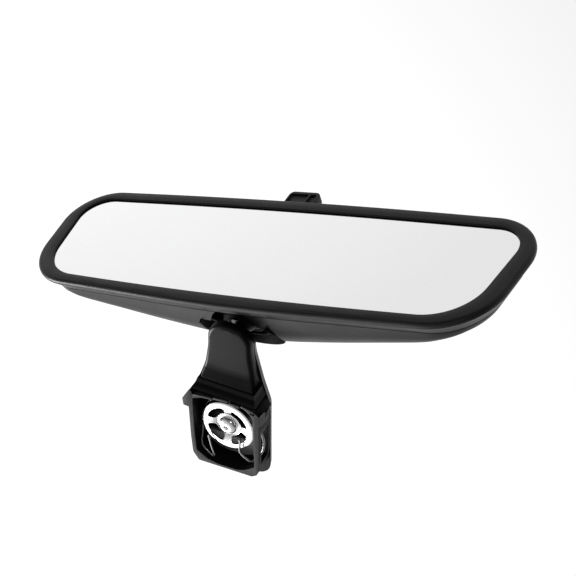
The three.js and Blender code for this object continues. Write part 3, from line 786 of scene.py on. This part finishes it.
def texture(mat, kind, size, **settings):
    """A texture node in the object's own space; `size` is its feature size in millimetres."""
    node = mat.node_tree.nodes.new(kind)
    node.inputs["Scale"].default_value = 1 / (size * MM)
    for key, value in settings.items():
        node.inputs[key].default_value = value
    place_in = mat.node_tree.nodes.new("ShaderNodeTexCoord")
    link(mat, place_in.outputs["Object"], node.inputs["Vector"])
    return node


def remap(owner, source, low, high, start=0.0, end=1.0, curve="LINEAR"):
    """The source's values from start to end, turned into low to high."""
    span = owner.node_tree.nodes.new("ShaderNodeMapRange")
    span.interpolation_type = curve
    for key, value in (("From Min", start), ("From Max", end), ("To Min", low), ("To Max", high)):
        span.inputs[key].default_value = value
    link(owner, source, span.inputs["Value"])
    return span.outputs["Result"]


def relief(mat, height, strength, normal=None):
    """A bump of GRAIN_DEPTH, on top of another bump if one is given."""
    bump = mat.node_tree.nodes.new("ShaderNodeBump")
    bump.inputs["Strength"].default_value = strength
    bump.inputs["Distance"].default_value = GRAIN_DEPTH * MM
    link(mat, height, bump.inputs["Height"])
    if normal:
        link(mat, normal, bump.inputs["Normal"])
    return bump.outputs["Normal"]


def material(name, color, roughness, metallic=0.0, specular=0.5, grain=0.0, grain_size=0.4, spread=0.05,
             shade=0.15, rings=0.0):
    """One shader with a fine grain, a slow wander of its roughness and shade, and turned rings if asked."""
    mat = bpy.data.materials.new(name)
    mat.use_nodes = True
    shader = mat.node_tree.nodes["Principled BSDF"]
    shader.inputs["Metallic"].default_value = metallic
    shader.inputs["Specular IOR Level"].default_value = specular
    cloud = texture(mat, "ShaderNodeTexNoise", CLOUD_SIZE, Detail=5.0, Roughness=0.6)
    link(mat, remap(mat, cloud.outputs["Fac"], roughness - spread, roughness + spread, 0.3, 0.7),
         shader.inputs["Roughness"])
    mix = mat.node_tree.nodes.new("ShaderNodeMix")
    mix.data_type = "RGBA"
    mix.inputs["A"].default_value = (*(c * (1 - shade) for c in color), 1)
    mix.inputs["B"].default_value = (*(min(1, c * (1 + shade)) for c in color), 1)
    speck = texture(mat, "ShaderNodeTexNoise", SPECK_SIZE, Detail=6.0, Roughness=0.7)
    link(mat, remap(mat, speck.outputs["Fac"], 0, 1, 0.35, 0.65), mix.inputs["Factor"])
    link(mat, mix.outputs["Result"], shader.inputs["Base Color"])
    fine = texture(mat, "ShaderNodeTexNoise", grain_size, Detail=3.0)
    normal = relief(mat, fine.outputs["Fac"], grain)
    if rings:
        wave = texture(mat, "ShaderNodeTexWave", RING_SIZE, Distortion=1.5, Detail=3.0)
        wave.wave_type = "RINGS"
        wave.rings_direction = "Z"
        normal = relief(mat, wave.outputs["Fac"], rings, normal)
    link(mat, normal, shader.inputs["Normal"])
    return mat


SATIN = material("satin_black", (0.009, 0.009, 0.0094), 0.42, specular=0.18, grain=0.5, grain_size=0.35)
# a darker copy of the box grey: painted shade for the box faces that don't face up
BOX_WALL_SHADE = material("box_walls_painted_shade", (0.006, 0.006, 0.0062), 0.5, specular=0.05, grain=0.35, grain_size=0.4)
# near black, darker than the satin: painted shade for the pieces down in the neck
NECK_SHADE = material("neck_painted_shade", (0.004, 0.004, 0.004), 0.7, specular=0.05, grain=0.4, grain_size=0.4)
# dark steel for the ball and stud: painted shade of the deep neck
STUD_SHADE = material("stud_painted_shade", (0.02, 0.02, 0.02), 0.5, metallic=1, grain=0.25, grain_size=0.3)
PALER = material("plate_grey", (0.13, 0.13, 0.132), 0.5, specular=0.3, grain=0.35, grain_size=0.4)
GLOSS = material("gloss_black", (0.0035, 0.0035, 0.0037), 0.32, specular=0.065, grain=0.12, grain_size=0.6)
GREY = material("dark_grey", (0.020, 0.0203, 0.021), 0.5, specular=0.13, grain=0.35, grain_size=0.4)
BRIGHT = material("bright_metal", (0.72, 0.72, 0.73), 0.2, metallic=1, grain=0.12, grain_size=0.7, shade=0.06,
                  rings=0.25)
STEEL = material("spring_steel", (0.2, 0.2, 0.205), 0.32, metallic=1, grain=0.25, grain_size=0.3, spread=0.08)
MIRROR = material("mirror_glass", (0.895, 0.895, 0.9), 0.015, metallic=1, grain=0.012, grain_size=60,
                  spread=0.006, shade=0.008)
NYLON = material("nylon", (0.012, 0.012, 0.011), 0.55, specular=0.2, grain=0.2)
FOAM = material("foam", (0.02, 0.02, 0.02), 0.9, grain=0.8, grain_size=0.8, shade=0.4)
LOOKS = dict(satin_black=SATIN, gloss_black=GLOSS, dark_grey=GREY, bright_metal=BRIGHT, spring_steel=STEEL,
             mirror_glass=MIRROR, nylon=NYLON, foam=FOAM)


# box faces above this height that face up keep the grey; all others take the painted shade
LIT_RIM_TOP = -1.0
LIT_FACING_UP = 0.35


def paint(obj, mat):
    """Gives the whole object one material."""
    obj.data.materials.clear()
    obj.data.materials.append(mat)


for entry in frame["record"]["subparts"]:
    paint(frame["nodes"][entry["node"]], LOOKS[entry["material_slot"]])
for obj in bpy.data.objects:
    if obj.type == "MESH" and "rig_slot" in obj:
        paint(obj, LOOKS[obj["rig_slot"]])
# the neck pieces are painted near black as painted shade of the deep neck; of the mount box only the rim that
# faces up is grey, the other faces take a darker copy as painted shade, and its floor plate is paler
paint(liner, NECK_SHADE)
paint(frame["nodes"]["socket_cup"], NECK_SHADE)
# painted shade: the ball and stud are painted near black
paint(stud, STUD_SHADE)
paint(floor_plate, PALER)
# painted shade: the box faces that don't face up get the darker copy
mount_box.data.materials.append(BOX_WALL_SHADE)
for face in mount_box.data.polygons:
    face.material_index = 0 if face.normal.z > LIT_FACING_UP and face.center.z > LIT_RIM_TOP * MM else 1


# ---- camera, floor and light ----
CAMERA_AT = Vector((-199.5, -410.3, 365.1))
CAMERA_BACK = Vector((-0.358, -0.592, 0.722)).normalized()
CAMERA_RIGHT = Vector((-0.8964, 0.0023, -0.4433))


def add_camera():
    up = CAMERA_BACK.cross(CAMERA_RIGHT.normalized()).normalized()
    right = up.cross(CAMERA_BACK).normalized()
    camera = bpy.data.objects.new("camera", bpy.data.cameras.new("camera"))
    turn = Matrix((right, up, CAMERA_BACK)).transposed().to_4x4()
    camera.matrix_world = Matrix.Translation(CAMERA_AT * MM) @ turn
    camera.data.sensor_width = 36
    camera.data.lens = 77.8
    camera.data.shift_x = 0.0527
    camera.data.shift_y = -0.065
    camera.data.clip_start = 0.01
    camera.data.clip_end = 50
    bpy.context.scene.collection.objects.link(camera)
    bpy.context.scene.camera = camera


def glow(name, near, far, start, end, middle):
    """A pale floor that glows as a painted pool of light, evenly round `middle` and a little less far from
    it.
    """
    mat = bpy.data.materials.new(name)
    mat.use_nodes = True
    shader = mat.node_tree.nodes["Principled BSDF"]
    shader.inputs["Base Color"].default_value = (0.06, 0.06, 0.06, 1)
    shader.inputs["Roughness"].default_value = 0.9
    shader.inputs["Specular IOR Level"].default_value = 0.0
    shader.inputs["Emission Color"].default_value = (1, 1, 1, 1)
    place_in = mat.node_tree.nodes.new("ShaderNodeTexCoord")
    away = mat.node_tree.nodes.new("ShaderNodeVectorMath")
    away.operation = "DISTANCE"
    away.inputs[1].default_value = tuple(Vector(middle) * MM)
    link(mat, place_in.outputs["Object"], away.inputs[0])
    strength = remap(mat, away.outputs["Value"], near, far, start * MM, end * MM)
    link(mat, strength, shader.inputs["Emission Strength"])
    return mat


FLOOR_Z = -260
FLOOR_HALF = 4000


def add_floor():
    corners = [(FLOOR_HALF * x, FLOOR_HALF * y, FLOOR_Z) for x, y in ((-1, -1), (1, -1), (1, 1), (-1, 1))]
    floor = mesh_object("floor", corners, [(0, 1, 2, 3)])
    paint(floor, glow("floor", 1.0, 0.8, 380, 640, (350, 300, FLOOR_Z)))


def area_light(name, direction, distance, size, power, target=(0, -40, -40)):
    data = bpy.data.lights.new(name, "AREA")
    data.shape = "DISK"
    data.size = size * MM
    data.energy = power
    lamp = bpy.data.objects.new(name, data)
    way = Vector(direction).normalized()
    lamp.matrix_world = aim(way, (Vector(target) + way * distance) * MM)
    bpy.context.scene.collection.objects.link(lamp)


def add_world():
    """A white studio, brightest above and behind the object and dim on the other side."""
    world = bpy.data.worlds.new("studio")
    bpy.context.scene.world = world
    world.use_nodes = True
    sky = world.node_tree.nodes["Background"]
    sky.inputs["Color"].default_value = (1, 1, 1, 1)
    way = world.node_tree.nodes.new("ShaderNodeTexCoord")
    towards = world.node_tree.nodes.new("ShaderNodeVectorMath")
    towards.operation = "DOT_PRODUCT"
    towards.inputs[1].default_value = (0.40, 0.66, 0.63)
    link(world, way.outputs["Generated"], towards.inputs[0])
    strength = remap(world, towards.outputs["Value"], 0.12, 0.75, -0.1, 0.9, "SMOOTHSTEP")
    link(world, strength, sky.inputs["Strength"])


add_camera()
add_floor()
area_light("key", (0.85, 0.45, 0.45), 1300, 420, 26)
area_light("panel", (0.38, 0.68, 0.62), 1000, 800, 5.5)
area_light("front", CAMERA_BACK, 1500, 110, 1.5)
add_world()
bpy.context.scene.view_settings.view_transform = "Standard"
